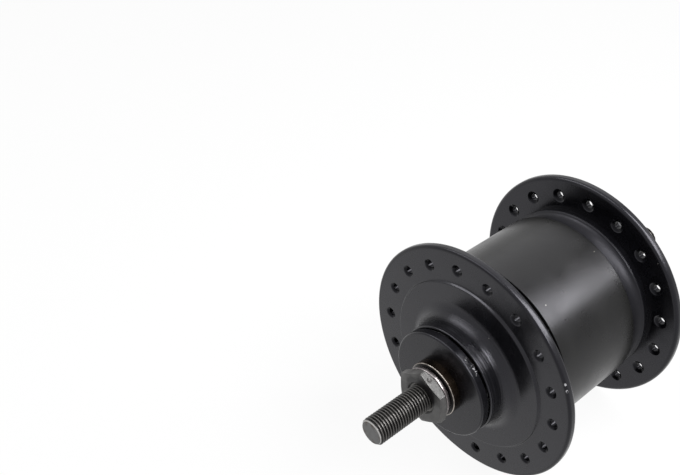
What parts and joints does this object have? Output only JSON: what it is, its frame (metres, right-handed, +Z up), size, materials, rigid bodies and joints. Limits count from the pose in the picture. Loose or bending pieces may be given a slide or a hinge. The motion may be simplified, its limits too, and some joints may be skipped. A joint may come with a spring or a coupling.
{
  "type": "hub dynamo",
  "caption": "Black front-wheel hub dynamo with high drilled flanges, a plain barrel, capped bosses and a threaded axle with locknuts and a side terminal.",
  "frame": {"origin": "centre of the hub on the axle's line, halfway between the flanges", "axes": "+X forward, +Y along the axle to the left end, +Z up; the terminal is at the -Y end and its tongue points up"},
  "size_m": [0.083, 0.14, 0.083],
  "materials": {
    "axle_steel": "black oxide",
    "stator_steel": "plain",
    "bobbin_plastic": "matte",
    "coil_copper": "enamelled copper",
    "plated_steel": "dull plated",
    "lead_cover": "matte",
    "cone_steel": "oily, polished",
    "cap_black": "satin black",
    "nut_steel": "dull grey, stained",
    "terminal_plastic": "matte",
    "contact_brass": "bright",
    "barrel_black": "satin black",
    "shell_black": "satin black coat",
    "magnet_ferrite": "matte ferrite",
    "bearing_steel": "ground",
    "seal_rubber": "matte",
    "ball_steel": "polished",
    "retainer_steel": "pressed"
  },
  "bodies": {
    "axle_assembly": {"axle": "axle_steel", "stator_sleeve": "stator_steel", "left_claw_pole": "stator_steel", "right_claw_pole": "stator_steel", "coil_bobbin": "bobbin_plastic", "coil_winding": "coil_copper", "stator_washer": "plated_steel", "stator_nut": "plated_steel", "coil_lead": "lead_cover", "left_cone": "cone_steel", "right_cone": "cone_steel", "left_dust_cap": "cap_black", "right_dust_cap": "cap_black", "left_lock_washer": "plated_steel", "right_lock_washer": "plated_steel", "left_locknut": "nut_steel", "right_locknut": "nut_steel", "terminal_housing": "terminal_plastic", "terminal_contact_live": "contact_brass", "terminal_contact_ground": "contact_brass"},
    "hub_shell": {"hub_barrel": "barrel_black", "left_flange": "shell_black", "right_flange": "shell_black", "magnet_segments": "magnet_ferrite", "left_bearing_cup": "bearing_steel", "right_bearing_cup": "bearing_steel", "left_seal": "seal_rubber", "right_seal": "seal_rubber"},
    "left_ball_set": {"left_bearing_balls": "ball_steel", "left_ball_retainer": "retainer_steel"},
    "right_ball_set": {"right_bearing_balls": "ball_steel", "right_ball_retainer": "retainer_steel"}
  },
  "joints": [
    {"name": "hub_spin", "type": "hinge", "parent": "axle_assembly", "child": "hub_shell", "pos_m": [0, 0, 0], "axis": [0, 1, 0], "continuous": true},
    {"name": "left_balls_roll", "type": "hinge", "parent": "axle_assembly", "child": "left_ball_set", "pos_m": [0, 0.034, 0], "axis": [0, 1, 0], "continuous": true},
    {"name": "right_balls_roll", "type": "hinge", "parent": "axle_assembly", "child": "right_ball_set", "pos_m": [0, -0.034, 0], "axis": [0, 1, 0], "continuous": true}
  ],
  "couplings": [
    {"joint": "left_balls_roll", "follows": "hub_spin", "ratio": 0.58},
    {"joint": "right_balls_roll", "follows": "hub_spin", "ratio": 0.58}
  ]
}
